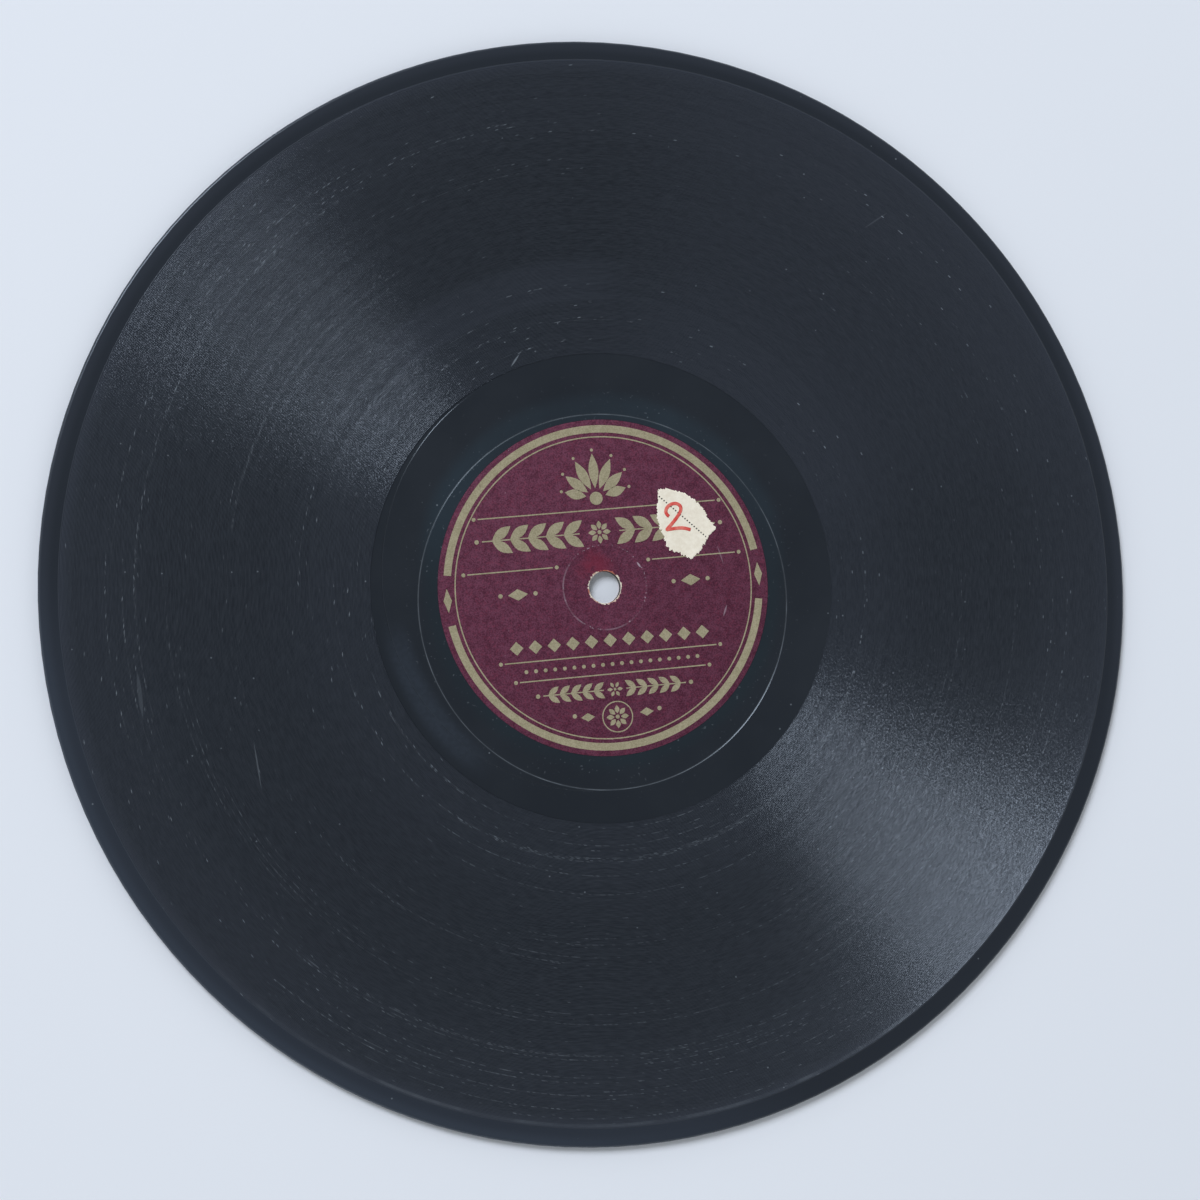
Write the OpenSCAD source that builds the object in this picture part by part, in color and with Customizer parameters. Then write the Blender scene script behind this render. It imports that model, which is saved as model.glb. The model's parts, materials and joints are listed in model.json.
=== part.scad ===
// Ten-inch shellac record: a laminated disc of core, paper membranes, facings and labels.
// It lies flat with its spindle axis on Z, its back on Z = 0 and its front facing up.

/* [Disc] */
// Overall diameter
record_d = 250; // [244:1:254]
// Thickness across the two groove bands
record_t = 2.2; // [2:0.1:2.8]
// Diameter of the spindle hole
hole_d = 7.3; // [7.2:0.02:7.6]
// Radius of the ground edges at the rim
rim_round = 0.7; // [0.3:0.05:0.75]

/* [Layers] */
// Thickness of each fine shellac facing
facing_t = 0.45; // [0.4:0.05:0.6]
// Thickness of each paper membrane
paper_t = 0.1; // [0.05:0.01:0.15]
// Distance from the rim to the edge of a membrane
paper_inset = 3; // [2:0.5:12]

/* [Playing surface] */
// Width of the plain margin between the rim and the first groove
margin_w = 4.35; // [3:0.05:8]
// How far the margin lies below the groove band
margin_drop = 0.08; // [0.02:0.02:0.14]
// Width of the plain run-out land between the last groove and the label
runout_w = 15; // [10:0.5:30]
// How far the run-out land lies below the groove band
runout_drop = 0.1; // [0.06:0.01:0.14]
// Least distance from the label's edge to the finishing groove
finish_gap = 1; // [0.6:0.1:2]
// Distance from the spindle axis to the centre of the finishing groove
finish_offset = 3.15; // [1:0.05:3.3]
// Width of the finishing groove
finish_w = 0.4; // [0.2:0.05:0.6]
// Depth of the finishing groove
finish_depth = 0.12; // [0.06:0.01:0.16]

/* [Labels] */
// Diameter of a label
label_d = 76.2; // [70:0.2:90]
// Thickness of a label
label_t = 0.12; // [0.08:0.01:0.16]
// Gap between a label's edge and its recess
label_gap = 0.05; // [0.02:0.01:0.2]
// Diameter of the raised ring pressed into a label around the hole
ring_d = 19.2; // [14:0.2:30]
// Width of the raised ring at its foot
ring_w = 0.6; // [0.3:0.1:1]
// Height of the raised ring
ring_h = 0.05; // [0.02:0.01:0.05]

/* [Sticker] */
// Width of the torn sticker
sticker_w = 13.8; // [8:0.2:16]
// Height of the torn sticker
sticker_h = 15.9; // [8:0.1:18]
// Thickness of the torn sticker
sticker_t = 0.1; // [0.06:0.01:0.1]
// Distance of the sticker's centre to the right of the spindle axis
sticker_x = 19.2; // [14:0.1:21]
// Distance of the sticker's centre above the spindle axis
sticker_y = 14.5; // [8:0.1:18]

/* [Hidden] */
$fn = 144;

record_r = record_d / 2;
hole_r = hole_d / 2;
label_r = label_d / 2;
paper_r = record_r - paper_inset;
groove_outer_r = record_r - margin_w;
groove_inner_r = label_r + runout_w;
finish_r = label_r + finish_gap + finish_offset + finish_w / 2;

// Heights of the front half, bottom to top
core_top = record_t - facing_t - paper_t;
paper_top = core_top + paper_t;
margin_top = record_t - margin_drop;
runout_top = record_t - runout_drop;
label_bottom = runout_top - label_t;
core_t = 2 * core_top - record_t;

// Torn outline as shares of the sticker's width and height, clockwise from its upper left corner
STICKER_EDGE = [
    [-0.48, 0.50], [-0.34, 0.50], [-0.15, 0.47], [0.03, 0.40], [0.17, 0.33], [0.32, 0.20], [0.38, 0.05],
    [0.50, -0.04], [0.43, -0.14], [0.33, -0.23], [0.22, -0.36], [0.09, -0.50], [-0.05, -0.44], [-0.14, -0.42],
    [-0.26, -0.40], [-0.36, -0.27], [-0.40, -0.17], [-0.49, 0.00], [-0.50, 0.13], [-0.48, 0.34]
];

// Half section between two radii and two heights
module band(r_in, r_out, z_low, z_high) {
    translate([r_in, z_low])
        square([r_out - r_in, z_high - z_low]);
}

// Half section of the whole pressed disc, with its rounded rim and its dropped margins and lands
module disc_section() {
    rim_in = record_r - rim_round;
    band(hole_r, groove_inner_r, runout_drop, runout_top);
    band(groove_inner_r, groove_outer_r, 0, record_t);
    band(groove_outer_r, rim_in, margin_drop, margin_top);
    band(rim_in, record_r, margin_drop + rim_round, margin_top - rim_round);
    for (z = [margin_drop + rim_round, margin_top - rim_round])
        translate([rim_in, z])
            circle(rim_round);
}

// Half section of a front facing: the disc's top layer, hollowed for its membrane and its label
module facing_section() {
    difference() {
        intersection() {
            disc_section();
            band(hole_r, record_r, core_top, record_t);
        }
        band(0, paper_r, core_top, paper_top);
        band(0, label_r, label_bottom, record_t);
    }
}

// V-shaped finishing groove, off centre so that it swings the pickup arm from side to side
module finishing_groove() {
    translate([0, -finish_offset, runout_top])
        rotate_extrude()
            translate([finish_r, 0])
                polygon([
                    [-finish_w / 2, 0], [0, -finish_depth], [finish_w / 2, 0],
                    [finish_w / 2, finish_depth], [-finish_w / 2, finish_depth]
                ]);
}

// A playing surface in its front place
module facing() {
    difference() {
        rotate_extrude()
            facing_section();
        finishing_groove();
    }
}

// A membrane in its front place
module paper_membrane() {
    rotate_extrude()
        band(hole_r, paper_r, core_top, paper_top);
}

// A label in its front place, with the raised ring around its hole
module label() {
    edge_r = label_r - label_gap;
    ring_r = ring_d / 2;
    rotate_extrude()
        polygon([
            [hole_r, label_bottom], [edge_r, label_bottom], [edge_r, runout_top],
            [ring_r + ring_w / 2, runout_top], [ring_r + ring_w / 6, runout_top + ring_h],
            [ring_r - ring_w / 6, runout_top + ring_h], [ring_r - ring_w / 2, runout_top], [hole_r, runout_top]
        ]);
}

// Turns a piece over from the front of the disc to its back
module on_back() {
    translate([0, 0, record_t])
        rotate([180, 0, 0])
            children();
}

module core_disc() {
    color("#191a1c")
        rotate_extrude()
            intersection() {
                disc_section();
                band(hole_r, record_r, core_top - core_t, core_top);
            }
}

module front_paper_membrane() {
    color("#7a6a4e")
        paper_membrane();
}

module back_paper_membrane() {
    color("#7a6a4e")
        on_back()
            paper_membrane();
}

module front_facing() {
    color("#24292f")
        facing();
}

module back_facing() {
    color("#24292f")
        on_back()
            facing();
}

module front_label() {
    color("#5a2841")
        label();
}

module back_label() {
    color("#5a2841")
        on_back()
            label();
}

module torn_sticker() {
    color("#e1ded4")
        translate([sticker_x, sticker_y, runout_top])
            linear_extrude(sticker_t)
                polygon([for (p = STICKER_EDGE) [p[0] * sticker_w, p[1] * sticker_h]]);
}

core_disc();
front_paper_membrane();
back_paper_membrane();
front_facing();
back_facing();
front_label();
back_label();
torn_sticker();
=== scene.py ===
import json
import math

import bmesh
import bpy
from mathutils import Matrix, Vector, noise


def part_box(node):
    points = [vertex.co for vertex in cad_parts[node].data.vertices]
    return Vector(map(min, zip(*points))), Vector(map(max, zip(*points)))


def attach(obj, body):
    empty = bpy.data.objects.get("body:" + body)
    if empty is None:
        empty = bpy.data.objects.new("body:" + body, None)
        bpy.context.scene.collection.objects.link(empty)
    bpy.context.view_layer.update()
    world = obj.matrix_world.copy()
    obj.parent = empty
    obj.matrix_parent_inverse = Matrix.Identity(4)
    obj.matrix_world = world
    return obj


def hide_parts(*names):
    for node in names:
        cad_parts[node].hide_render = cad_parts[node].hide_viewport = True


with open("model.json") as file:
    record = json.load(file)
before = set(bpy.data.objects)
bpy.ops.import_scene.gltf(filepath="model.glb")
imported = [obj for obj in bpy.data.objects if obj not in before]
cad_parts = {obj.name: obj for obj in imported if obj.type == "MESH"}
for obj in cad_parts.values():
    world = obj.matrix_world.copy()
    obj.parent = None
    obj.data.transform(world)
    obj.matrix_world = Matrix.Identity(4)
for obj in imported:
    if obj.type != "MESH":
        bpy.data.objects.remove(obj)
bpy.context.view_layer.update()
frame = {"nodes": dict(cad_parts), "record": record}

# Sizes in metres. What the frame knows is read from it, and the rest repeats the real object's sizes.
MM = 0.001
MICRON = 0.000001
FULL_TURN = 2 * math.pi
WELD = 0.05 * MICRON

mount_of = {mount["name"]: mount for mount in frame["record"]["mounts"]}
HOLE_R = mount_of["spindle_hole"]["dims"]["r_mm"] * MM
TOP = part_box("front_facing")[1].z
CORE_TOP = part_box("front_facing")[0].z
PAPER_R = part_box("front_paper_membrane")[1].x
PAPER_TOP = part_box("front_paper_membrane")[1].z
RIM_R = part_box("core_disc")[1].x
LABEL_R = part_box("front_label")[1].x
LABEL_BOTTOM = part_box("front_label")[0].z
RUNOUT_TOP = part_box("torn_sticker")[0].z
STICKER_LOW, STICKER_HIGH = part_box("torn_sticker")

# Rim and playing surface
RIM_ROUND = 0.7 * MM
RIM_EASE = 0.2 * MM
RIM_STEPS = 7
MARGIN_W = 4.35 * MM
MARGIN_DROP = 0.08 * MM
MARGIN_TOP = TOP - MARGIN_DROP
GROOVE_OUTER_R = RIM_R - MARGIN_W
LABEL_GAP = 0.05 * MM
RECESS_R = LABEL_R + LABEL_GAP
RUNOUT_W = 15 * MM
GROOVE_INNER_R = RECESS_R + RUNOUT_W
SHOULDER_W = 0.06 * MM
FIRST_EDGE_W = 0.15 * MM
PITCH = 0.28 * MM
PITCH_SWING = 0.015 * MM
LAND_W = 0.05 * MM
OUTER_DEPTH = 0.12 * MM
INNER_DEPTH = 0.142 * MM
OUTER_LEAN = 0.52
INNER_LEAN = 0.455
DEPTH_SWING = 0.16
SPIN_STEPS = 128

# The sound groove ends, and the run-out groove starts, at this angle from +X
SEAM_ANGLE = math.radians(115)
GROOVE_START = 0.02
LEAD_SWEEP = 150 / 360
LEAD_EASE = 0.28
LEAD_FADE = 0.12
LEAD_W = 0.22 * MM
LEAD_DEPTH = 0.09 * MM
FINISH_GAP = 1 * MM
FINISH_OFFSET = 3.15 * MM
FINISH_W = 0.4 * MM
FINISH_DEPTH = 0.12 * MM
FINISH_R = RECESS_R + FINISH_GAP + FINISH_OFFSET + FINISH_W / 2
LEAD_CLEAR = FINISH_W / 2 + LEAD_W * 0.55

# Labels
PRESS_RING_R = 9.6 * MM
PRESS_RING_W = 0.6 * MM
PRESS_RING_H = 0.05 * MM
LABEL_EDGE_W = 0.06 * MM
LABEL_EDGE_H = 0.03 * MM
LABEL_STEPS = 160
FRAY_W = 0.2 * MM
FRAY_H = 0.05 * MM
FRAY_LENGTH = 0.5 * MM
FRAY_SEED = {"front": 3.0, "back": 8.0}
PRINT_TURN = math.radians(5)
INK_TOP = RUNOUT_TOP + 12 * MICRON
INK_FOOT = RUNOUT_TOP - 4 * MICRON
INK_STEP = 3 * MICRON

# Gold print, about the spindle axis, before it is turned: rings, then rows from the top down
BORDER_R = 35.95 * MM
BORDER_W = 1.7 * MM
BORDER_BREAK = math.radians(9)
INNER_LINE_R = 34.14 * MM
LINE_W = 0.28 * MM
DOT_R = 0.5 * MM
SMALL_DOT_R = 0.45 * MM
FAN_Y = 20.2 * MM
UPPER_GARLAND_Y = 12.5 * MM
SIDE_X = 20 * MM
LOZENGE_ROW_Y = -12 * MM
DOT_ROW_Y = -17.4 * MM
LOWER_GARLAND_Y = -23.1 * MM
SEAL_Y = -29.3 * MM
SEAL_R = 3.43 * MM
SEAL_LINE_W = 0.26 * MM

# Thin rules of the print: height, inner end and outer end in millimetres
RULES = ((17.6, 0, 27.5), (5.4, 11.5, 31), (-15.2, 0, 24.5), (-19.6, 0, 21.5))

# Camera of the photograph, fitted to the rim, the label and the hole
CAMERA_PLACE = Vector((-0.1203, -0.0382, TOP + 0.5637))
CAMERA_AIM = Vector((-0.0012, -0.0029, TOP))
CAMERA_UP = Vector((0, 0.998, 0.0625))
LENS_MM = 76.85
SENSOR_MM = 36
CLIP_START = 0.01

# Light and floor: a soft lamp that faces the spindle hole, in a pale tent that is dimmer overhead
LAMP_DIRECTION = Vector((-0.422, 0.559, 0.714))
LAMP_DISTANCE = 4.0
LAMP_W = 1.5
LAMP_H = 1.7
LAMP_WATTS = 104.0
LAMP_COLOUR = (0.92, 0.98, 1.06)
TENT_COLOUR = (0.92, 0.97, 1.0, 1.0)
TENT_OVERHEAD = 0.19
FLOOR_R = 12
FLOOR_DROP = 20 * MICRON


class Signal:
    """An output socket of a material's nodes. Arithmetic on signals adds Math nodes."""

    def __init__(self, tree, socket=None):
        self.tree = tree
        self.socket = socket

    def make(self, kind, settings=None, inputs=None, out=0):
        """Adds a node of any kind: its settings first, then the values or links of its sockets."""
        node = self.tree.nodes.new("ShaderNode" + kind)
        for name, value in (settings or {}).items():
            setattr(node, name, value)
        for name, value in (inputs or {}).items():
            if isinstance(value, Signal):
                self.tree.links.new(value.socket, node.inputs[name])
            else:
                node.inputs[name].default_value = value
        return Signal(self.tree, node.outputs[out] if node.outputs else None)

    def math(self, operation, *values):
        return self.make("Math", {"operation": operation}, dict(enumerate(values)))

    def __add__(self, other):
        return self.math("ADD", self, other)

    def __radd__(self, other):
        return self.math("ADD", other, self)

    def __sub__(self, other):
        return self.math("SUBTRACT", self, other)

    def __rsub__(self, other):
        return self.math("SUBTRACT", other, self)

    def __mul__(self, other):
        return self.math("MULTIPLY", self, other)

    def __rmul__(self, other):
        return self.math("MULTIPLY", other, self)

    def __truediv__(self, other):
        return self.math("DIVIDE", self, other)

    def __gt__(self, other):
        return self.math("GREATER_THAN", self, other)

    def __lt__(self, other):
        return self.math("LESS_THAN", self, other)

    def __abs__(self):
        return self.math("ABSOLUTE", self)

    def floor(self):
        return self.math("FLOOR", self)

    def most(self, other):
        return self.math("MAXIMUM", self, other)

    def ramp(self, low, high, to_low=0.0, to_high=1.0):
        """Runs smoothly from one value to another while this signal goes from low to high."""
        return self.make(
            "MapRange",
            {"interpolation_type": "SMOOTHSTEP"},
            {"Value": self, "From Min": low, "From Max": high, "To Min": to_low, "To Max": to_high},
        )

    def noise(self, scale, detail=2.0, roughness=0.5):
        """Soft noise at this place, with this many lumps a metre."""
        return self.make(
            "TexNoise", None, {"Vector": self, "Scale": scale, "Detail": detail, "Roughness": roughness}
        )

    def scatter(self):
        """A random value for each whole-number place."""
        return self.make("TexWhiteNoise", {"noise_dimensions": "3D"}, {"Vector": self}, "Value")

    def speck(self, scale):
        """Distance to the nearest of points strewn at this many a metre."""
        return self.make("TexVoronoi", {"feature": "F1"}, {"Vector": self, "Scale": scale}, "Distance")

    def tint(self, low, high):
        """A colour between two, by this signal."""
        return self.make("Mix", {"data_type": "RGBA"}, {0: self, 6: low, 7: high}, 2)

    def bump(self, strength, distance):
        return self.make("Bump", None, {"Height": self, "Strength": strength, "Distance": distance})


def axes(place):
    """The three coordinates of a place signal."""
    parts = place.make("SeparateXYZ", None, {0: place})
    outputs = parts.socket.node.outputs
    return [Signal(place.tree, outputs[name]) for name in ("X", "Y", "Z")]


def join(x, y, z):
    """A place signal from its three coordinates."""
    return x.make("CombineXYZ", None, {0: x, 1: y, 2: z})


def rgb(red, green, blue):
    """A colour written as the eight-bit values it shows, turned into light."""
    linear = []
    for value in (red, green, blue):
        share = value / 255
        linear.append(share / 12.92 if share <= 0.04045 else ((share + 0.055) / 1.055) ** 2.4)
    return (*linear, 1.0)


def start_material(name):
    """A new material's tree and the place on the surface that it reads."""
    material = bpy.data.materials.new(name)
    material.use_nodes = True
    tree = material.node_tree
    tree.nodes.clear()
    place = Signal(tree).make("TexCoord", None, None, "Object")
    return material, place


def end_material(material, place, colour, rough, normal=None, **fixed):
    """Closes a material with one shader. Names in fixed are sockets that stay the same all over."""
    inputs = {"Base Color": colour, "Roughness": rough}
    if normal is not None:
        inputs["Normal"] = normal
    for name, value in fixed.items():
        inputs[name.replace("_", " ")] = value
    shader = place.make("BsdfPrincipled", None, inputs)
    place.make("OutputMaterial", None, {"Surface": shader})
    return material


def distance(x, y):
    """How far from the origin these two coordinates lie."""
    return x.math("SQRT", x * x + y * y)


def scratch(x, y, start, end, width):
    """1 on a hairline between two points, tapering to both ends and fading at its sides."""
    along = Vector(end) - Vector(start)
    length = along.length
    along.normalize()
    dx = x - start[0]
    dy = y - start[1]
    on = (dx * along.x + dy * along.y) / length
    off = abs(dy * along.x - dx * along.y)
    reach = on * (1 - on) * (2 * width)
    return (reach - off).ramp(0.0, width / 4)


# Scratches on the front's shellac and on its label: their two ends, width and paleness
HAIRLINES = (
    ((-0.0211, 0.0495), (-0.0189, 0.0528), 0.5 * MM, 0.5),
    ((-0.0790, -0.0330), (-0.0771, -0.0452), 0.4 * MM, 0.22),
    ((0.0624, 0.0835), (0.0688, 0.0878), 0.5 * MM, 0.09),
    ((-0.1040, -0.0176), (-0.1026, -0.0294), 1.2 * MM, 0.11),
)
LABEL_MARKS = (
    ((0.0074, 0.0058), (0.0084, 0.0044), 0.5 * MM, 0.8),
    ((0.0262, 0.0098), (0.0278, 0.0050), 0.4 * MM, 0.25),
    ((0.0284, -0.0038), (0.0274, -0.0068), 0.5 * MM, 0.45),
)

# Middle of the label's reddened spot
RED_SPOT = Vector((-2.4, 4.6)) * MM

# Lengths along the groove of a dash of dust, of the grain of its colour and of its ripple
DASH_LENGTH = 0.65 * MM
GRAIN_LENGTH = 3 * MM
RIPPLE_LENGTH = 1 * MM

# Wear of a face, and where it is painted with sheen and reflection: radii, and directions from the
# spindle axis in degrees from +X
LEAST_PLAYED_R = 87 * MM
PALE_TURNS_R = 70 * MM
LAND_SHEEN_R = 48.6 * MM
RIGHT = 0
CALM_AT = 45
UPPER_SHEEN_AT = 50
UP = 90
PALE_TURNS_AT = 110
LAND_SHEEN_AT = 213
LOWER_LEFT_LIGHT_AT = 235
LOW_AT = 285
SMOOTH_AT = 300
LOWER_RIGHT_FADE_AT = 310
RIPPLED_AT = 332


class FaceSpot:
    """A spot on the shellac of either face, as signals: its place, its groove and its wear."""

    def __init__(self, place):
        self.place = place
        self.x, self.y, z = axes(place)
        self.side = z > TOP / 2
        self.front_y = self.y * (self.side * 2 - 1)
        self.radius = distance(self.x, self.y)
        self.arc_length = self.x.math("ARCTAN2", self.y, self.x) * self.radius
        self.ring = self.radius / PITCH
        self.turn = self.ring.floor()
        self.in_band = (self.radius > GROOVE_INNER_R) * (self.radius < GROOVE_OUTER_R)
        self.played = abs(self.radius - LEAST_PLAYED_R).ramp(7 * MM, 29 * MM)
        self.low = self.toward(LOW_AT).ramp(0.3, 0.9)
        self.haze = place.noise(26, 4.0, 0.6).ramp(0.35, 0.75)

    def out(self, degrees):
        """How far out the spot lies in a direction, as its own face is seen."""
        angle = math.radians(degrees)
        return self.x * math.cos(angle) + self.front_y * math.sin(angle)

    def toward(self, degrees):
        """How nearly the spot lies in a direction, from -1 to 1."""
        return self.out(degrees) / self.radius

    def along_groove(self, length):
        """Noise drawn out along the groove, by this length."""
        return join(self.ring, self.arc_length / length, self.side * 9).noise(1.1, 1.0, 0.6)


def groove_dust(spot):
    """Pale dashes and streaks of dust along worn turns of the groove."""
    calm = spot.toward(CALM_AT).ramp(0.424, 0.849, 1.0, 0.25)
    worn_turn = join(spot.turn, spot.side, 0.5).scatter() > 0.96 - spot.played * 0.15 - spot.low * 0.05
    heading = join(spot.x / spot.radius, spot.y / spot.radius, spot.turn * 3.7 + spot.side)
    worn_part = (heading.noise(1.1, 1.0) + spot.low * 0.05).ramp(0.49, 0.65) * calm
    worn = worn_turn * worn_part
    streaks = worn * spot.place.noise(500, 2.0).ramp(0.4, 0.75, 0.0, 0.06)

    part = (spot.arc_length / DASH_LENGTH).floor()
    chance = calm * (spot.played * 0.003 + 0.002) + worn * 0.45
    brightest = (spot.played * 0.3 + 0.2) * (1 - spot.low * 0.6)
    draw = join(part, spot.turn, spot.side + 5.5).scatter()
    tone = draw * draw * draw * brightest + spot.low * 0.05 + 0.045
    dashes = (join(spot.turn, part, spot.side).scatter() < chance) * tone
    in_turn = abs(spot.ring - spot.turn - 0.5) < 0.36
    return dashes.most(streaks) * in_turn * spot.in_band


def strewn_dust(spot):
    """Dots, lint by the label, dust in the finishing groove, a scuffed first turn and hairlines."""
    dots = spot.place.speck(170).ramp(0.02, 0.045, 0.35, 0.0)
    lint = spot.place.noise(1300, 2.0).ramp(0.66, 0.8)
    lint = lint * spot.radius.ramp(GROOVE_INNER_R, RECESS_R, 0.0, 0.22)
    finish_reach = abs(distance(spot.x, spot.front_y + FINISH_OFFSET) - FINISH_R)
    in_finish = finish_reach.ramp(0.04 * MM, 0.14 * MM, 1.0, 0.0)
    in_finish = in_finish * spot.place.noise(150, 3.0).ramp(0.35, 0.75, 0.1, 0.36)
    scuffed_edge = abs(spot.radius - GROOVE_OUTER_R + 0.55 * MM).ramp(0.2 * MM, 0.45 * MM, 1.0, 0.0)
    scuffed_edge = scuffed_edge * spot.low * spot.place.noise(110, 4.0).ramp(0.4, 0.75, 0.03, 0.15)
    dust = dots.most(lint).most(in_finish).most(scuffed_edge)
    for start, end, width, tone in HAIRLINES:
        dust = dust.most(scratch(spot.x, spot.y, start, end, width) * spot.side * tone)
    return dust


def plain_colour(spot):
    """The smooth bands: a margin with painted reflection, paler at the lower left, a land with a band of
    painted sheen, a film by the label.
    """
    # Painted reflection of the rounded rim: the margin is painted paler at the lower left; it is also
    # paler toward the rim, less so toward the lower right.
    lower_left_light = spot.out(LOWER_LEFT_LIGHT_AT).ramp(62 * MM, 92 * MM)
    lower_right_fade = spot.out(LOWER_RIGHT_FADE_AT).ramp(80 * MM, 112 * MM, 1.0, 0.1)
    outward = spot.radius.ramp(GROOVE_OUTER_R + 1 * MM, RIM_R - 1 * MM) * lower_right_fade
    unlit_margin = outward.tint(rgb(36, 40, 47), rgb(44, 48, 56))
    lit_margin = outward.tint(rgb(44, 49, 58), rgb(51, 57, 67))
    margin = lower_left_light.tint(unlit_margin, lit_margin)

    # Painted sheen: a soft pale band on the land at the lower left stands in for a reflection.
    land_sheen = spot.toward(LAND_SHEEN_AT).ramp(0.9, 0.985)
    land_sheen = land_sheen * abs(spot.radius - LAND_SHEEN_R).ramp(1 * MM, 4 * MM, 0.9, 0.0)
    land_sheen = land_sheen * spot.place.noise(900, 3.0).ramp(0.35, 0.65, 0.65, 1.0)
    bare_land = spot.haze.tint(rgb(32, 36, 42), rgb(38, 42, 48))
    land = land_sheen.tint(bare_land, rgb(46, 52, 61))
    plain = (spot.radius > GROOVE_INNER_R).tint(land, margin)

    upper = spot.toward(UP).ramp(-0.1, 0.5)
    film_reach = spot.radius - RECESS_R - upper * (3 * MM)
    near_label = film_reach.ramp(0.5 * MM, 4.5 * MM, 1.0, 0.0)
    film = upper.tint(rgb(32, 42, 48), rgb(40, 50, 58))
    return (near_label * (spot.haze * 0.6 + 0.4)).tint(plain, film)


def groove_colour(spot):
    """The grooved band: grain along the groove, paler at its first turns, where it is dusty, and toward
    the upper right with painted sheen.
    """
    grain = spot.along_groove(GRAIN_LENGTH).ramp(0.3, 0.7)
    clean = grain.tint(rgb(32, 36, 43), rgb(43, 47, 54))
    pale_turns = spot.toward(PALE_TURNS_AT).ramp(0.88, 0.97)
    pale_turns = pale_turns * abs(spot.radius - PALE_TURNS_R).ramp(3 * MM, 6 * MM, 0.3, 0.0)
    # Painted sheen toward the upper right, added to real dust on the more played turns and the pale
    # turns.
    upper_sheen = spot.toward(UPPER_SHEEN_AT).ramp(0.75, 0.98)
    dust_and_sheen = (spot.played * 0.19 + upper_sheen * 0.26 + pale_turns).tint(clean, rgb(56, 60, 70))
    first_turns = spot.radius.ramp(GROOVE_OUTER_R - 3.2 * MM, GROOVE_OUTER_R - 0.2 * MM)
    first_turns = first_turns * spot.toward(RIGHT).ramp(0.9, 0.98, 1.0, 0.35)
    return first_turns.tint(dust_and_sheen, rgb(50, 54, 63))


def shellac_material():
    """Black shellac, dusty in its grooves, with pale dashes along them and hairline scratches."""
    material, place = start_material("black_shellac")
    spot = FaceSpot(place)
    dust = groove_dust(spot).most(strewn_dust(spot))
    clean = spot.in_band.tint(plain_colour(spot), groove_colour(spot))
    colour = dust.tint(clean, rgb(150, 158, 166))

    # The groove's ripple spreads the lamp's gleam to either side of each turn
    smooth = spot.toward(SMOOTH_AT).ramp(0.9, 0.98)
    rough = spot.in_band * (smooth * 0.035 - 0.05) + 0.21 + spot.haze * 0.04 + dust * 0.35
    rippled = spot.toward(RIPPLED_AT).ramp(0.9, 0.98)
    rippled = rippled * spot.radius.ramp(GROOVE_INNER_R, GROOVE_OUTER_R, 0.7, 0.2)
    swing = rippled + 0.94 - smooth * 0.3
    normal = (spot.along_groove(RIPPLE_LENGTH) * swing * spot.in_band).bump(0.65, 0.08 * MM)
    return end_material(
        material, place, colour, rough, normal, IOR=1.43, Specular_Tint=(0.9, 1.0, 1.13, 1.0)
    )


def core_material():
    """Coarse slate-filled compound, ground at the rim."""
    material, place = start_material("shellac_core")
    grit = place.noise(3800, 3.0)
    colour = grit.ramp(0.35, 0.7).tint(rgb(30, 32, 36), rgb(58, 60, 62))
    rough = grit.ramp(0.3, 0.7, 0.5, 0.7)
    return end_material(material, place, colour, rough, grit.bump(0.4, 0.03 * MM))


def membrane_material():
    """Thin paper soaked with shellac."""
    material, place = start_material("membrane_paper")
    fibre = place.noise(1500, 3.0)
    colour = fibre.tint(rgb(84, 66, 44), rgb(140, 118, 84))
    return end_material(material, place, colour, 0.7, fibre.bump(0.3, 0.02 * MM))


def speckle(place):
    """Fine mottle of uncoated paper, from 0 to 1."""
    fine = place.noise(3200, 2.0, 0.7)
    broad = place.noise(500, 3.0)
    return (fine * 0.7 + broad * 0.3).ramp(0.36, 0.64)


def label_material():
    """Maroon label paper: mottled, reddened and chipped round the hole, scuffed on its pressed ring."""
    material, place = start_material("maroon_label_paper")
    x, y, z = axes(place)
    radius = distance(x, y)
    mottle = speckle(place)
    frayed = radius + (place.noise(1500, 3.0) - 0.5) * (1.3 * MM)
    red = distance(x - RED_SPOT.x, y - RED_SPOT.y).ramp(1 * MM, 6 * MM, 1.0, 0.0)
    red = red * place.noise(260, 3.0).ramp(0.35, 0.6)
    chipped = frayed.ramp(HOLE_R + 0.15 * MM, HOLE_R + 0.3 * MM, 1.0, 0.0)
    chip_tone = place.noise(420, 1.0).ramp(0.5, 0.66)
    on_ring = abs(radius - PRESS_RING_R).ramp(0.1 * MM, 0.24 * MM, 1.0, 0.0)
    lower_left = (x + y).ramp(-9 * MM, 2 * MM, 1.0, 0.1)
    rubbed = lower_left * place.noise(220, 2.0).ramp(0.4, 0.6) * 0.27
    dotted = place.noise(1900, 2.0).ramp(0.56, 0.7) * 0.7
    scuffed = on_ring * rubbed.most(dotted)
    marks = place.speck(240).ramp(0.012, 0.03, 0.5, 0.0)
    for start, end, width, tone in LABEL_MARKS:
        marks = marks.most(scratch(x, y, start, end, width) * (z > TOP / 2) * tone)

    flush = place.noise(2100, 1.0).ramp(0.5, 0.72)
    paper = (flush * 0.45).tint(mottle.tint(rgb(71, 28, 46), rgb(106, 57, 77)), rgb(117, 50, 71))
    reddened = (red * 0.6).tint(paper, rgb(120, 36, 56))
    worn = scuffed.most(marks).tint(reddened, rgb(176, 158, 168))
    colour = chipped.tint(worn, chip_tone.tint(rgb(228, 216, 198), rgb(176, 104, 84)))
    normal = mottle.bump(0.3, 0.02 * MM)
    return end_material(material, place, colour, 0.72, normal, Specular_IOR_Level=0.15)


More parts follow.
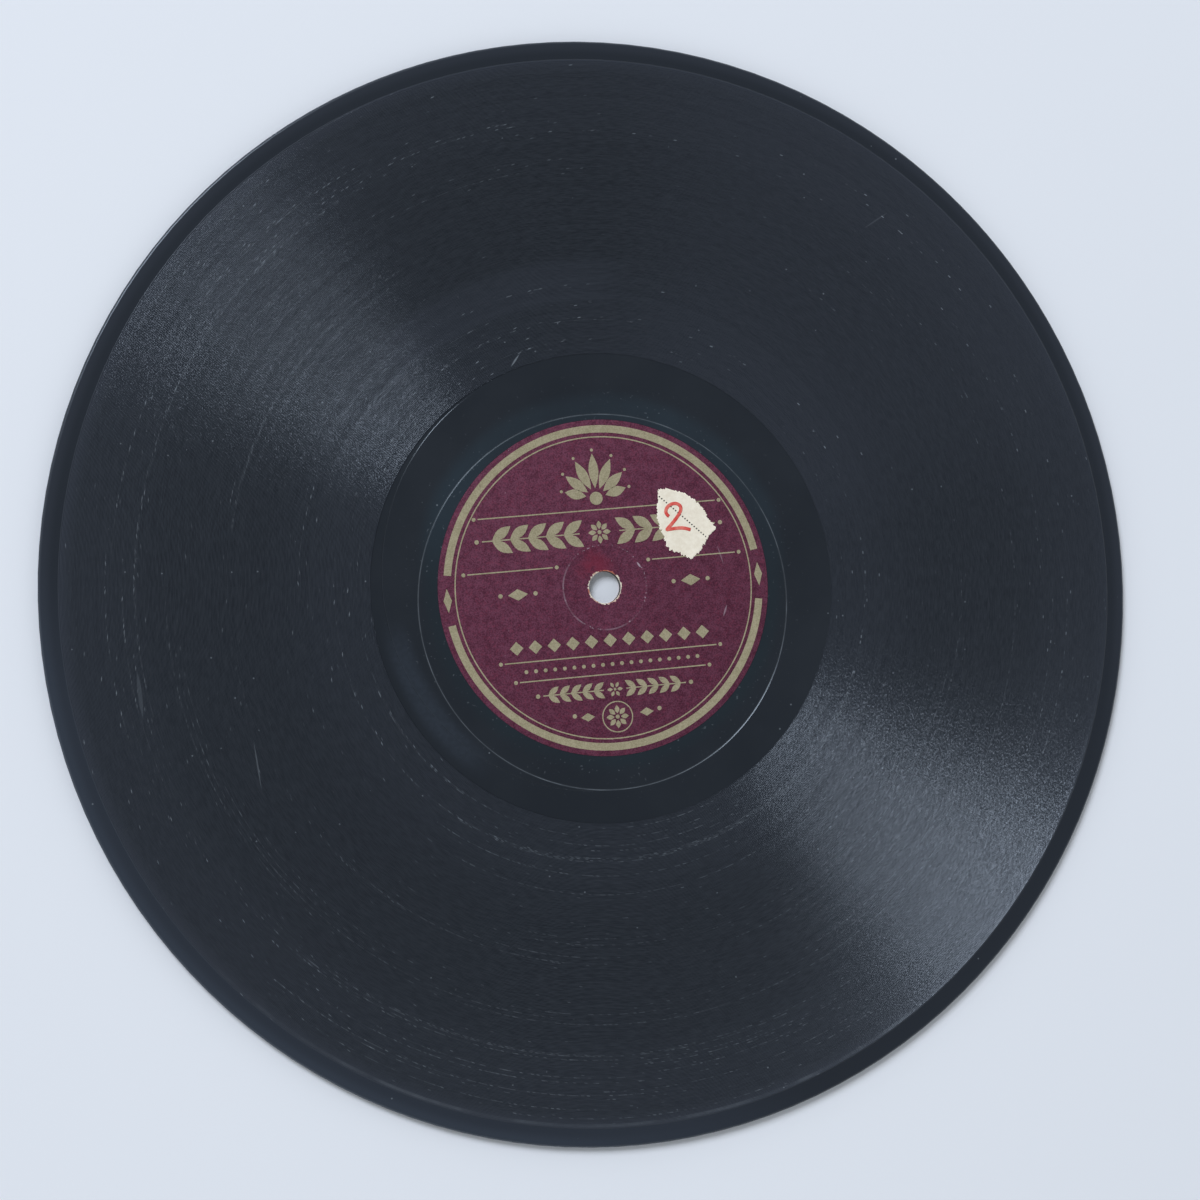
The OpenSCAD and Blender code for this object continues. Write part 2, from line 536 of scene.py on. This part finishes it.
def ink_material():
    """Dull gold ink that lets the paper's mottle through."""
    material, place = start_material("dull_gold_ink")
    mottle = speckle(place)
    thin = place.noise(900, 3.0).ramp(0.62, 0.8)
    gold = mottle.tint(rgb(143, 134, 107), rgb(168, 158, 131))
    colour = (thin * 0.55).tint(gold, rgb(98, 58, 70))
    return end_material(material, place, colour, 0.6, mottle.bump(0.2, 0.02 * MM), Specular_IOR_Level=0.2)


def sticker_material():
    """Cream paper with short fibres, whiter where it is torn."""
    material, place = start_material("torn_cream_paper")
    fibre = place.noise(900, 4.0, 0.7)
    stain = place.noise(160, 2.0)
    colour = (fibre * 0.6 + stain * 0.4).ramp(0.3, 0.7).tint(rgb(234, 222, 202), rgb(252, 243, 226))
    return end_material(material, place, colour, 0.85, fibre.bump(0.5, 0.04 * MM))


def red_ink_material():
    """Red ink of a broad nib, thinner where it ran dry."""
    material, place = start_material("red_ink")
    dry = place.noise(700, 3.0).ramp(0.35, 0.75)
    colour = dry.tint(rgb(214, 66, 58), rgb(232, 124, 110))
    return end_material(material, place, colour, 0.6)


def pin_hole_material():
    """Painted shade of the perforation's pin holes: dark dots in place of holes."""
    material, place = start_material("pin_hole_shade")
    shade = place.noise(2000, 1.0)
    colour = shade.tint(rgb(22, 20, 22), rgb(52, 48, 48))
    return end_material(material, place, colour, 0.8)


def finish_piece(bm, name, material, replaces=None):
    """Welds and closes a mesh, makes it a piece of the record and rides it on the disc."""
    bmesh.ops.remove_doubles(bm, verts=bm.verts, dist=WELD)
    bmesh.ops.recalc_face_normals(bm, faces=bm.faces)
    mesh = bpy.data.meshes.new(name)
    bm.to_mesh(mesh)
    bm.free()
    mesh.materials.append(material)
    piece = bpy.data.objects.new(name, mesh)
    bpy.context.scene.collection.objects.link(piece)
    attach(piece, "root")
    if replaces:
        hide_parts(replaces)


def turn_over(bm):
    """Moves a front mesh to the record's back, half a turn about the X axis."""
    middle = Vector((0, 0, TOP / 2))
    turn = Matrix.Rotation(math.pi, 3, "X")
    bmesh.ops.rotate(bm, verts=bm.verts, cent=middle, matrix=turn)


def spin_rings(bm, rings, steps, seam=0.0):
    """Spins a closed loop of (radius, height) rings.

    Returns the layer that numbers the rings' vertices, and the vertices at the end of the turn.
    """
    number = bm.verts.layers.int.new("ring")
    for index, (radius, height) in enumerate(rings):
        vert = bm.verts.new((radius * math.cos(seam), radius * math.sin(seam), height))
        vert[number] = index
    bm.verts.ensure_lookup_table()
    count = len(rings)
    edges = [bm.edges.new((bm.verts[i], bm.verts[(i + 1) % count])) for i in range(count)]
    spun = bmesh.ops.spin(
        bm,
        geom=bm.verts[:] + edges,
        cent=(0, 0, 0),
        axis=(0, 0, 1),
        angle=FULL_TURN,
        steps=steps,
    )
    last = {item for item in spun["geom_last"] if isinstance(item, bmesh.types.BMVert)}
    return number, last


def turn_of(vert, last, seam):
    """How far round from the seam a vertex lies, from 0 to 1."""
    if vert in last:
        return 1.0
    share = ((math.atan2(vert.co.y, vert.co.x) - seam) / FULL_TURN) % 1.0
    return 0.0 if share > 1 - 0.1 / SPIN_STEPS else share


def ease_in(share):
    """Starts slowly and then runs at a steady rate, from 0 to 1."""
    if share < LEAD_EASE:
        return share * share / (2 * LEAD_EASE) / (1 - LEAD_EASE / 2)
    return (share - LEAD_EASE / 2) / (1 - LEAD_EASE / 2)


def finish_edge(angle, reach):
    """Radius of the off-centre finishing groove at an angle, this far out from its middle."""
    ring_r = FINISH_R + reach
    across = FINISH_OFFSET * math.cos(angle)
    return math.sqrt(ring_r * ring_r - across * across) - FINISH_OFFSET * math.sin(angle)


def lead_middle(turn):
    """Radius of the run-out groove's bottom. Past its end it comes back, flat, to where it began."""
    begin = GROOVE_INNER_R - SHOULDER_W - LEAD_W
    angle = SEAM_ANGLE + turn * FULL_TURN
    clear = finish_edge(angle, LEAD_CLEAR)
    end = finish_edge(SEAM_ANGLE + LEAD_SWEEP * FULL_TURN, LEAD_CLEAR)
    if turn < LEAD_SWEEP:
        middle = begin + (end - begin) * ease_in(turn / LEAD_SWEEP)
    else:
        back = (turn - LEAD_SWEEP) / (1 - LEAD_SWEEP)
        middle = end + (begin - end) * back * back * (3 - 2 * back)
    return max(middle, clear)


def lead_depth(turn):
    """Depth of the run-out groove, which fades in at the last turn and ends at the finishing groove."""
    return LEAD_DEPTH * min(1.0, turn / LEAD_FADE) if turn < LEAD_SWEEP else 0.0


def sound_rings():
    """Rings of the sound groove, three to a turn: two edges of the land and the groove's bottom."""
    width = GROOVE_OUTER_R - GROOVE_INNER_R
    turns = range(int(width / PITCH))
    pitches = [PITCH + PITCH_SWING * math.sin(turn * 2.4) * math.sin(turn * 0.37) for turn in turns]
    fit = width / sum(pitches)
    rings = []
    radius = GROOVE_OUTER_R
    for turn in turns:
        pitch = pitches[turn] * fit
        swell = 0.5 * math.sin(turn * 0.61) * math.sin(turn * 0.173)
        loud = noise.noise(Vector((turn * 0.91, 0.5, 0.5))) + swell
        inward = 1 - ((radius - GROOVE_INNER_R) / width) ** 2
        depth = (OUTER_DEPTH + (INNER_DEPTH - OUTER_DEPTH) * inward) * (1 + DEPTH_SWING * loud)
        lean = OUTER_LEAN + (INNER_LEAN - OUTER_LEAN) * inward
        bottom = radius - LAND_W - (pitch - LAND_W) * lean
        rings += [(radius, TOP), (radius - LAND_W, TOP), (bottom, TOP - depth)]
        radius -= pitch
    return rings


def rim_rings():
    """Rings of the rounded rim and the margin, up to the edge of the first turn."""
    rim_r = RIM_R - RIM_ROUND
    rim_z = MARGIN_TOP - RIM_ROUND
    rim_start = math.asin((CORE_TOP - rim_z) / RIM_ROUND)
    rings = []
    for step in range(RIM_STEPS + 1):
        angle = rim_start + (math.pi / 2 - rim_start) * step / RIM_STEPS
        rings.append((rim_r + RIM_ROUND * math.cos(angle), rim_z + RIM_ROUND * math.sin(angle)))
    rings += [
        (rim_r - RIM_EASE, MARGIN_TOP),
        (GROOVE_OUTER_R + FIRST_EDGE_W, MARGIN_TOP),
        (GROOVE_OUTER_R, TOP),
    ]
    return rings


def facing_mesh():
    """A front facing: rounded rim, margin, spiral groove, run-out land with its grooves, label recess."""
    outer = rim_rings()
    sound = sound_rings()
    inner = [
        (GROOVE_INNER_R, TOP),
        (GROOVE_INNER_R - SHOULDER_W, RUNOUT_TOP),
        # The run-out groove's three rings, which get their places below
        *((GROOVE_INNER_R - step * MM, RUNOUT_TOP) for step in (1, 2, 3)),
        (FINISH_R + FINISH_W / 2, RUNOUT_TOP),
        (FINISH_R, RUNOUT_TOP - FINISH_DEPTH),
        (FINISH_R - FINISH_W / 2, RUNOUT_TOP),
    ]
    under = [
        (RECESS_R, RUNOUT_TOP),
        (RECESS_R, LABEL_BOTTOM),
        (HOLE_R, LABEL_BOTTOM),
        (HOLE_R, PAPER_TOP),
        (PAPER_R, PAPER_TOP),
        (PAPER_R, CORE_TOP),
    ]
    rings = outer + sound + inner + under
    first_sound = len(outer)
    last_sound = first_sound + len(sound) - 1
    lead_start = last_sound + 3
    finish_start = lead_start + 3
    under_start = finish_start + 3
    bottoms = range(first_sound + 2, last_sound + 1, 3)
    steps = {0, first_sound - 2, first_sound - 1, last_sound + 1, last_sound + 2}
    sharp = steps.union(bottoms, range(lead_start, len(rings)))

    bm = bmesh.new()
    number, last = spin_rings(bm, rings, SPIN_STEPS, SEAM_ANGLE)
    for vert in bm.verts:
        ring = vert[number]
        turn = turn_of(vert, last, SEAM_ANGLE)
        angle = SEAM_ANGLE + turn * FULL_TURN
        radius, height = rings[ring]
        middle_y = 0.0
        if first_sound <= ring <= last_sound:
            end = rings[ring + 3] if ring + 3 <= last_sound else rings[last_sound + 1]
            radius += (end[0] - radius) * turn
            height += (end[1] - height) * turn
            if ring < first_sound + 3:
                opened = min(1.0, turn / GROOVE_START)
                radius = GROOVE_OUTER_R + (radius - GROOVE_OUTER_R) * opened
                height = TOP + (height - TOP) * opened
        elif lead_start <= ring < finish_start:
            side = lead_start + 1 - ring
            radius = lead_middle(turn) + side * LEAD_W / 2
            height = RUNOUT_TOP if side else RUNOUT_TOP - lead_depth(turn)
        elif finish_start <= ring < under_start:
            middle_y = -FINISH_OFFSET
        vert.co = (radius * math.cos(angle), radius * math.sin(angle) + middle_y, height)
    for face in bm.faces:
        face.smooth = True
    for edge in bm.edges:
        start, end = (vert[number] for vert in edge.verts)
        edge.smooth = not (start == end and start in sharp)
    return bm


def label_mesh(seed):
    """A front label with its raised ring and a hole whose edge has frayed."""
    foot, head = PRESS_RING_W / 2, PRESS_RING_W / 6
    rings = [
        (HOLE_R, LABEL_BOTTOM),
        (HOLE_R, RUNOUT_TOP - FRAY_H),
        (HOLE_R + FRAY_W, RUNOUT_TOP),
        (HOLE_R + 3 * FRAY_W, RUNOUT_TOP),
        (PRESS_RING_R - foot, RUNOUT_TOP),
        (PRESS_RING_R - head, RUNOUT_TOP + PRESS_RING_H),
        (PRESS_RING_R + head, RUNOUT_TOP + PRESS_RING_H),
        (PRESS_RING_R + foot, RUNOUT_TOP),
        (LABEL_R - LABEL_EDGE_W, RUNOUT_TOP),
        (LABEL_R, RUNOUT_TOP - LABEL_EDGE_H),
        (LABEL_R, LABEL_BOTTOM),
    ]
    frayed_rings = (1, 2)
    edge_rings = (0, 1, 9, 10)
    bm = bmesh.new()
    number, _ = spin_rings(bm, rings, LABEL_STEPS)
    for vert in bm.verts:
        if vert[number] in frayed_rings:
            spot = Vector((vert.co.x, vert.co.y, 0)) / FRAY_LENGTH
            push = noise.noise(spot + Vector((0, 0, seed))) * FRAY_W * 0.7
            outward = Vector((vert.co.x, vert.co.y, 0)).normalized()
            vert.co += outward * max(push, 0)
    for face in bm.faces:
        face.smooth = True
    for edge in bm.edges:
        edge.smooth = not all(vert[number] in edge_rings for vert in edge.verts)
    return bm


def prism(bm, outline, place=(0, 0), turn=0.0, level=0):
    """A thin slab of ink with this outline, moved and turned on the label.

    Slabs that cross differ in level.
    """
    spot = Matrix.Translation((*place, 0)) @ Matrix.Rotation(turn, 4, "Z")
    corners = [bm.verts.new(spot @ Vector((x, y, INK_FOOT))) for x, y in outline]
    face = bm.faces.new(corners)
    raised = bmesh.ops.extrude_face_region(bm, geom=[face], use_keep_orig=True)
    top = [item for item in raised["geom"] if isinstance(item, bmesh.types.BMVert)]
    bmesh.ops.translate(bm, verts=top, vec=(0, 0, INK_TOP + level * INK_STEP - INK_FOOT))


def lens(length, width, points=6):
    """Outline of a pointed leaf that starts at the origin and lies along X."""
    upper = []
    for step in range(points + 1):
        share = step / points
        upper.append((length * share, width / 2 * math.sin(math.pi * share)))
    lower = [(x, -y) for x, y in reversed(upper[1:-1])]
    return upper + lower


def lozenge(width, height):
    """Outline of a lozenge about the origin."""
    return [(width / 2, 0), (0, height / 2), (-width / 2, 0), (0, -height / 2)]


def bar(length, width):
    """Outline of a bar along X, about the origin."""
    x = length / 2
    y = width / 2
    return [(-x, -y), (x, -y), (x, y), (-x, y)]


def round_point(middle, radius, angle):
    """The point this far from a middle, at an angle from +X."""
    return (middle[0] + radius * math.cos(angle), middle[1] + radius * math.sin(angle))


def disc(radius, sides=16):
    """Outline of a round dot about the origin."""
    return [round_point((0, 0), radius, FULL_TURN * i / sides) for i in range(sides)]


def hoop(bm, radius, width, place=(0, 0), start=0.0, sweep=FULL_TURN):
    """A ring of ink, or a stretch of one."""
    inner = radius - width / 2
    outer = radius + width / 2
    corners = [(inner, INK_FOOT), (outer, INK_FOOT), (outer, INK_TOP), (inner, INK_TOP)]
    verts = [bm.verts.new((*round_point(place, reach, start), height)) for reach, height in corners]
    whole = sweep == FULL_TURN
    geom = verts + [bm.edges.new((verts[i], verts[(i + 1) % 4])) for i in range(4)]
    if not whole:
        geom.append(bm.faces.new(verts))
    steps = max(8, round(120 * sweep / FULL_TURN))
    bmesh.ops.spin(
        bm, geom=geom, cent=(*place, 0), axis=(0, 0, 1), angle=sweep, steps=steps, use_merge=whole
    )


def rosette(bm, place, radius, petals):
    """Round flower of pointed petals about a small eye."""
    for index in range(petals):
        turn = FULL_TURN * index / petals
        root = round_point(place, radius * 0.28, turn)
        prism(bm, lens(radius * 0.72, radius * 0.42), root, turn)
    prism(bm, disc(radius * 0.18), place)


def garland(bm, height, inner, reach, leaf, step, lean):
    """Two sprays of leaves along a level stem, both pointing at the middle."""
    for side in (-1, 1):
        prism(bm, bar(reach - inner, LINE_W), (side * (reach + inner) / 2, height))
        count = round((reach - inner) / step)
        for index in range(count):
            root = (side * (inner + (index + 0.9) * step), height)
            heading = math.pi if side > 0 else 0.0
            for lift in (-1, 1):
                prism(bm, lens(leaf, leaf * 0.42), root, heading - side * lift * lean, 2 + lift)
        prism(bm, disc(DOT_R), (side * (reach + 1.2 * MM), height))


def rule(bm, height, inner, outer):
    """A thin level line with dots at its ends, broken in the middle if its inner end is off the axis."""
    for side in (-1, 1):
        prism(bm, bar(outer - inner, LINE_W), (side * (outer + inner) / 2, height))
        for end in (inner - 0.9 * MM, outer + 0.9 * MM):
            if end > 0:
                prism(bm, disc(SMALL_DOT_R), (side * end, height))


def palmette(bm, place):
    """Fan of seven petals over a round base."""
    petal_root = 2.3 * MM
    petal_w = 2.3 * MM
    for index in range(-3, 4):
        turn = math.pi / 2 - index * math.radians(25)
        length = (10.2 - 0.62 * abs(index) ** 1.4) * MM
        prism(bm, lens(length - petal_root, petal_w), round_point(place, petal_root, turn), turn)
        prism(bm, disc(0.36 * MM, 10), round_point(place, length + 0.8 * MM, turn))
    prism(bm, disc(1.5 * MM), place)


def print_mesh():
    """The gold print of a front label: ring, rules, garlands, fan and rows of small ornaments."""
    bm = bmesh.new()
    for start in (BORDER_BREAK, math.pi + BORDER_BREAK):
        hoop(bm, BORDER_R, BORDER_W, start=start, sweep=math.pi - 2 * BORDER_BREAK)
    for side in (-1, 1):
        prism(bm, lozenge(1.9 * MM, 5.4 * MM), (side * BORDER_R, 0))
        prism(bm, lozenge(4.6 * MM, 2.6 * MM), (side * SIDE_X, 0))
        for step in (-1, 1):
            prism(bm, disc(DOT_R), (side * SIDE_X + step * 4 * MM, 0))
    hoop(bm, INNER_LINE_R, LINE_W)
    palmette(bm, (0, FAN_Y))
    upper_lean = math.radians(34)
    garland(bm, UPPER_GARLAND_Y, 4.6 * MM, 27 * MM, leaf=5.4 * MM, step=4.1 * MM, lean=upper_lean)
    rosette(bm, (0, UPPER_GARLAND_Y), 2.6 * MM, petals=8)
    for height, inner, outer in RULES:
        rule(bm, height * MM, inner * MM, outer * MM)
    for index in range(-5, 6):
        prism(bm, lozenge(3.1 * MM, 3.1 * MM), (index * 4.3 * MM, LOZENGE_ROW_Y))
    for index in range(-9, 10):
        prism(bm, disc(SMALL_DOT_R, 12), (index * 2.2 * MM, DOT_ROW_Y))
    lower_lean = math.radians(36)
    garland(bm, LOWER_GARLAND_Y, 2.6 * MM, 16.5 * MM, leaf=3.1 * MM, step=2.6 * MM, lean=lower_lean)
    rosette(bm, (0, LOWER_GARLAND_Y), 1.8 * MM, petals=6)
    rosette(bm, (0, SEAL_Y), 2.6 * MM, petals=8)
    hoop(bm, SEAL_R, SEAL_LINE_W, (0, SEAL_Y))
    for side in (-1, 1):
        prism(bm, lozenge(3.2 * MM, 1.9 * MM), (side * 6.8 * MM, SEAL_Y + 0.5 * MM))
        prism(bm, disc(DOT_R), (side * 9.8 * MM, SEAL_Y + 1 * MM))
    bmesh.ops.rotate(bm, verts=bm.verts, cent=(0, 0, 0), matrix=Matrix.Rotation(PRINT_TURN, 3, "Z"))
    return bm


# Torn outline of the sticker as shares of its width and height, clockwise from its upper left corner
STICKER_EDGE = (
    (-0.48, 0.50), (-0.34, 0.50), (-0.15, 0.47), (0.02, 0.42), (0.15, 0.34), (0.26, 0.25), (0.32, 0.16),
    (0.36, 0.08), (0.43, 0.01), (0.50, -0.05), (0.43, -0.12), (0.34, -0.21), (0.30, -0.26), (0.26, -0.34),
    (0.21, -0.41), (0.14, -0.45), (0.09, -0.50), (0.01, -0.49), (-0.10, -0.45), (-0.12, -0.41),
    (-0.21, -0.41), (-0.28, -0.38), (-0.33, -0.32), (-0.37, -0.23), (-0.41, -0.14), (-0.46, -0.05),
    (-0.49, 0.06), (-0.50, 0.17), (-0.49, 0.28), (-0.48, 0.39),
)
STICKER_MIDDLE = (STICKER_LOW + STICKER_HIGH) / 2
STICKER_SIZE = STICKER_HIGH - STICKER_LOW

# Its ragged tear, and where and how far its loose tip and lower edge lift
TEAR_CUTS = 9
TEAR_LENGTH = 0.45 * MM
TEAR_DEPTH = 0.42 * MM
FINE_TEAR_DEPTH = 0.3 * MM
TIP_FROM = 0.22
TIP_LIFT = 2.2 * MM
LOWER_FROM = 0.34
LOWER_LIFT = 3 * MM


def sticker_lift(x, y):
    """How far the sticker's loose right tip and lower edge stand off the label."""
    right = max(0.0, (x - STICKER_MIDDLE.x) / STICKER_SIZE.x - TIP_FROM)
    low = max(0.0, (STICKER_MIDDLE.y - y) / STICKER_SIZE.y - LOWER_FROM)
    return TIP_LIFT * right * right + LOWER_LIFT * low * low


def sticker_mesh():
    """Torn scrap of paper: ragged edge, thinned towards the tear, a little lifted at its loose ends."""
    bm = bmesh.new()
    corners = []
    for x, y in STICKER_EDGE:
        across = STICKER_MIDDLE.x + x * STICKER_SIZE.x
        up = STICKER_MIDDLE.y + y * STICKER_SIZE.y
        corners.append(bm.verts.new((across, up, STICKER_LOW.z)))
    edges = [bm.edges.new((corners[i - 1], corners[i])) for i in range(len(corners))]
    bmesh.ops.subdivide_edges(bm, edges=edges, cuts=TEAR_CUTS)
    for vert in bm.verts:
        outward = Vector((vert.co.x - STICKER_MIDDLE.x, vert.co.y - STICKER_MIDDLE.y, 0)).normalized()
        spot = vert.co / TEAR_LENGTH
        tear = TEAR_DEPTH * noise.noise(spot) + FINE_TEAR_DEPTH * noise.noise(spot * 2.3)
        vert.co += outward * tear
    rim = bm.edges[:]
    bmesh.ops.contextual_create(bm, geom=rim)
    thin = STICKER_SIZE.z * 0.4
    middle = Matrix.Translation(-STICKER_MIDDLE)
    for shrink, rise in ((1, thin), (0.955, STICKER_SIZE.z - thin), (0.8, 0), (0.7, 0), (0.5, 0)):
        grown = bmesh.ops.extrude_edge_only(bm, edges=rim)["geom"]
        rim = [item for item in grown if isinstance(item, bmesh.types.BMEdge)]
        verts = [item for item in grown if isinstance(item, bmesh.types.BMVert)]
        bmesh.ops.translate(bm, verts=verts, vec=(0, 0, rise))
        bmesh.ops.scale(bm, verts=verts, vec=(shrink, shrink, 1), space=middle)
    bmesh.ops.contextual_create(bm, geom=rim)
    for vert in bm.verts:
        vert.co.z += sticker_lift(vert.co.x, vert.co.y)
    return bm


# Handwritten numeral on the sticker, as points of its stroke in millimetres from the spindle axis
NUMERAL = (
    (15.1, 16.1), (14.4, 16.6), (14.3, 17.7), (15.2, 18.8), (16.7, 19.2), (17.8, 18.6), (17.9, 17.5),
    (17.2, 16.3), (16.3, 15.1), (15.4, 14.1), (14.5, 13.1), (14.6, 13.1), (15.8, 13.3), (17.3, 13.5),
    (18.7, 13.5), (20.1, 13.1),
)
NUMERAL_W = 0.82 * MM
NUMERAL_H = 12 * MICRON


def stroke_mesh():
    """The numeral's stroke: a round nib swept along its points, then pressed flat on the paper."""
    curve = bpy.data.curves.new("numeral_stroke", "CURVE")
    curve.dimensions = "3D"
    curve.bevel_depth = NUMERAL_W / 2
    curve.bevel_resolution = 2
    curve.use_fill_caps = True
    curve.resolution_u = 6
    spline = curve.splines.new("NURBS")
    spline.points.add(len(NUMERAL) - 1)
    spline.order_u = 3
    spline.use_endpoint_u = True
    for point, (x, y) in zip(spline.points, NUMERAL):
        point.co = (x * MM, y * MM, 0, 1)
    holder = bpy.data.objects.new("numeral_stroke", curve)
    bm = bmesh.new()
    bm.from_mesh(holder.to_mesh())
    bpy.data.objects.remove(holder)
    for vert in bm.verts:
        flat = vert.co.z / NUMERAL_W * NUMERAL_H
        vert.co.z = STICKER_HIGH.z + flat + sticker_lift(vert.co.x, vert.co.y)
    return bm


# Perforation of the sticker: a row of pin pricks between two points
PIN_HOLES = 21
PIN_HOLE_R = 0.19 * MM
PIN_HOLE_H = 8 * MICRON
PIN_LINE = (Vector((12.9, 20.6, 0)) * MM, Vector((23.6, 11.6, 0)) * MM)


def pin_hole_mesh():
    """Row of pin pricks across the sticker, each a dark flat dot of painted shade, with no hole cut."""
    bm = bmesh.new()
    for index in range(PIN_HOLES):
        spot = PIN_LINE[0].lerp(PIN_LINE[1], index / (PIN_HOLES - 1))
        spot.z = STICKER_HIGH.z + sticker_lift(spot.x, spot.y)
        bmesh.ops.create_cone(
            bm,
            cap_ends=True,
            segments=8,
            radius1=PIN_HOLE_R,
            radius2=PIN_HOLE_R,
            depth=PIN_HOLE_H,
            matrix=Matrix.Translation(spot),
        )
    return bm


def make_pieces():
    """Builds every piece that dresses the frame."""
    shellac = shellac_material()
    label_paper = label_material()
    gold = ink_material()
    for side in ("front", "back"):
        facing = facing_mesh()
        label = label_mesh(FRAY_SEED[side])
        ink = print_mesh()
        if side == "back":
            for bm in (facing, label, ink):
                turn_over(bm)
        finish_piece(facing, f"{side}_playing_surface", shellac, f"{side}_facing")
        finish_piece(label, f"{side}_paper_label", label_paper, f"{side}_label")
        finish_piece(ink, f"{side}_label_print", gold)
    paper = sticker_material()
    finish_piece(sticker_mesh(), "torn_paper_sticker", paper, "torn_sticker")
    finish_piece(stroke_mesh(), "handwritten_numeral", red_ink_material())
    # The pin holes are dark dots of painted shade.
    finish_piece(pin_hole_mesh(), "sticker_pin_hole_shade", pin_hole_material())


def dress_frame():
    """Gives the CAD nodes that stay in sight their own finishes."""
    finishes = {"core_disc": core_material()}
    membrane = membrane_material()
    for side in ("front", "back"):
        finishes[f"{side}_paper_membrane"] = membrane
    for node, material in finishes.items():
        mesh = frame["nodes"][node].data
        mesh.materials.clear()
        mesh.materials.append(material)


def make_camera():
    """The photograph's camera."""
    camera = bpy.data.cameras.new("photo_camera")
    camera.sensor_width = SENSOR_MM
    camera.lens = LENS_MM
    camera.clip_start = CLIP_START
    holder = bpy.data.objects.new("photo_camera", camera)
    forward = (CAMERA_AIM - CAMERA_PLACE).normalized()
    right = forward.cross(CAMERA_UP).normalized()
    up = right.cross(forward)
    turn = Matrix((right, up, -forward)).transposed()
    holder.matrix_world = Matrix.Translation(CAMERA_PLACE) @ turn.to_4x4()
    bpy.context.scene.collection.objects.link(holder)
    bpy.context.scene.camera = holder


def make_key_lamp():
    """A soft lamp at the upper left that faces the spindle hole."""
    lamp = bpy.data.lights.new("key_softbox", "AREA")
    lamp.shape = "RECTANGLE"
    lamp.size = LAMP_W
    lamp.size_y = LAMP_H
    lamp.energy = LAMP_WATTS
    lamp.color = LAMP_COLOUR
    holder = bpy.data.objects.new("key_softbox", lamp)
    spot = LAMP_DIRECTION.normalized() * LAMP_DISTANCE
    holder.matrix_world = Matrix.Translation(spot) @ spot.to_track_quat("Z", "Y").to_matrix().to_4x4()
    bpy.context.scene.collection.objects.link(holder)


def make_tent():
    """Pale light from all sides, dimmer overhead."""
    world = bpy.data.worlds.new("pale_tent")
    bpy.context.scene.world = world
    world.use_nodes = True
    tree = world.node_tree
    tree.nodes.clear()
    direction = Signal(tree).make("TexCoord", None, None, "Generated")
    height = axes(direction)[2]
    level = height.ramp(0.1, 1.0, 1.0, TENT_OVERHEAD)
    glow = direction.make("Background", None, {"Color": TENT_COLOUR, "Strength": level})
    direction.make("OutputWorld", None, {"Surface": glow})


def make_floor():
    """Plain pale floor, just under the record."""
    bm = bmesh.new()
    bmesh.ops.create_circle(bm, cap_ends=True, segments=96, radius=FLOOR_R)
    bmesh.ops.translate(bm, verts=bm.verts, vec=(0, 0, -FLOOR_DROP))
    mesh = bpy.data.meshes.new("floor")
    bm.to_mesh(mesh)
    bm.free()
    material, place = start_material("pale_floor")
    tone = place.noise(3, 2.0).tint(rgb(233, 235, 241), rgb(237, 239, 245))
    end_material(material, place, tone, 0.9)
    mesh.materials.append(material)
    floor = bpy.data.objects.new("floor", mesh)
    bpy.context.scene.collection.objects.link(floor)


make_camera()
make_pieces()
dress_frame()
make_floor()
make_key_lamp()
make_tent()
bpy.context.scene.view_settings.view_transform = "Standard"

bpy.context.view_layer.update()
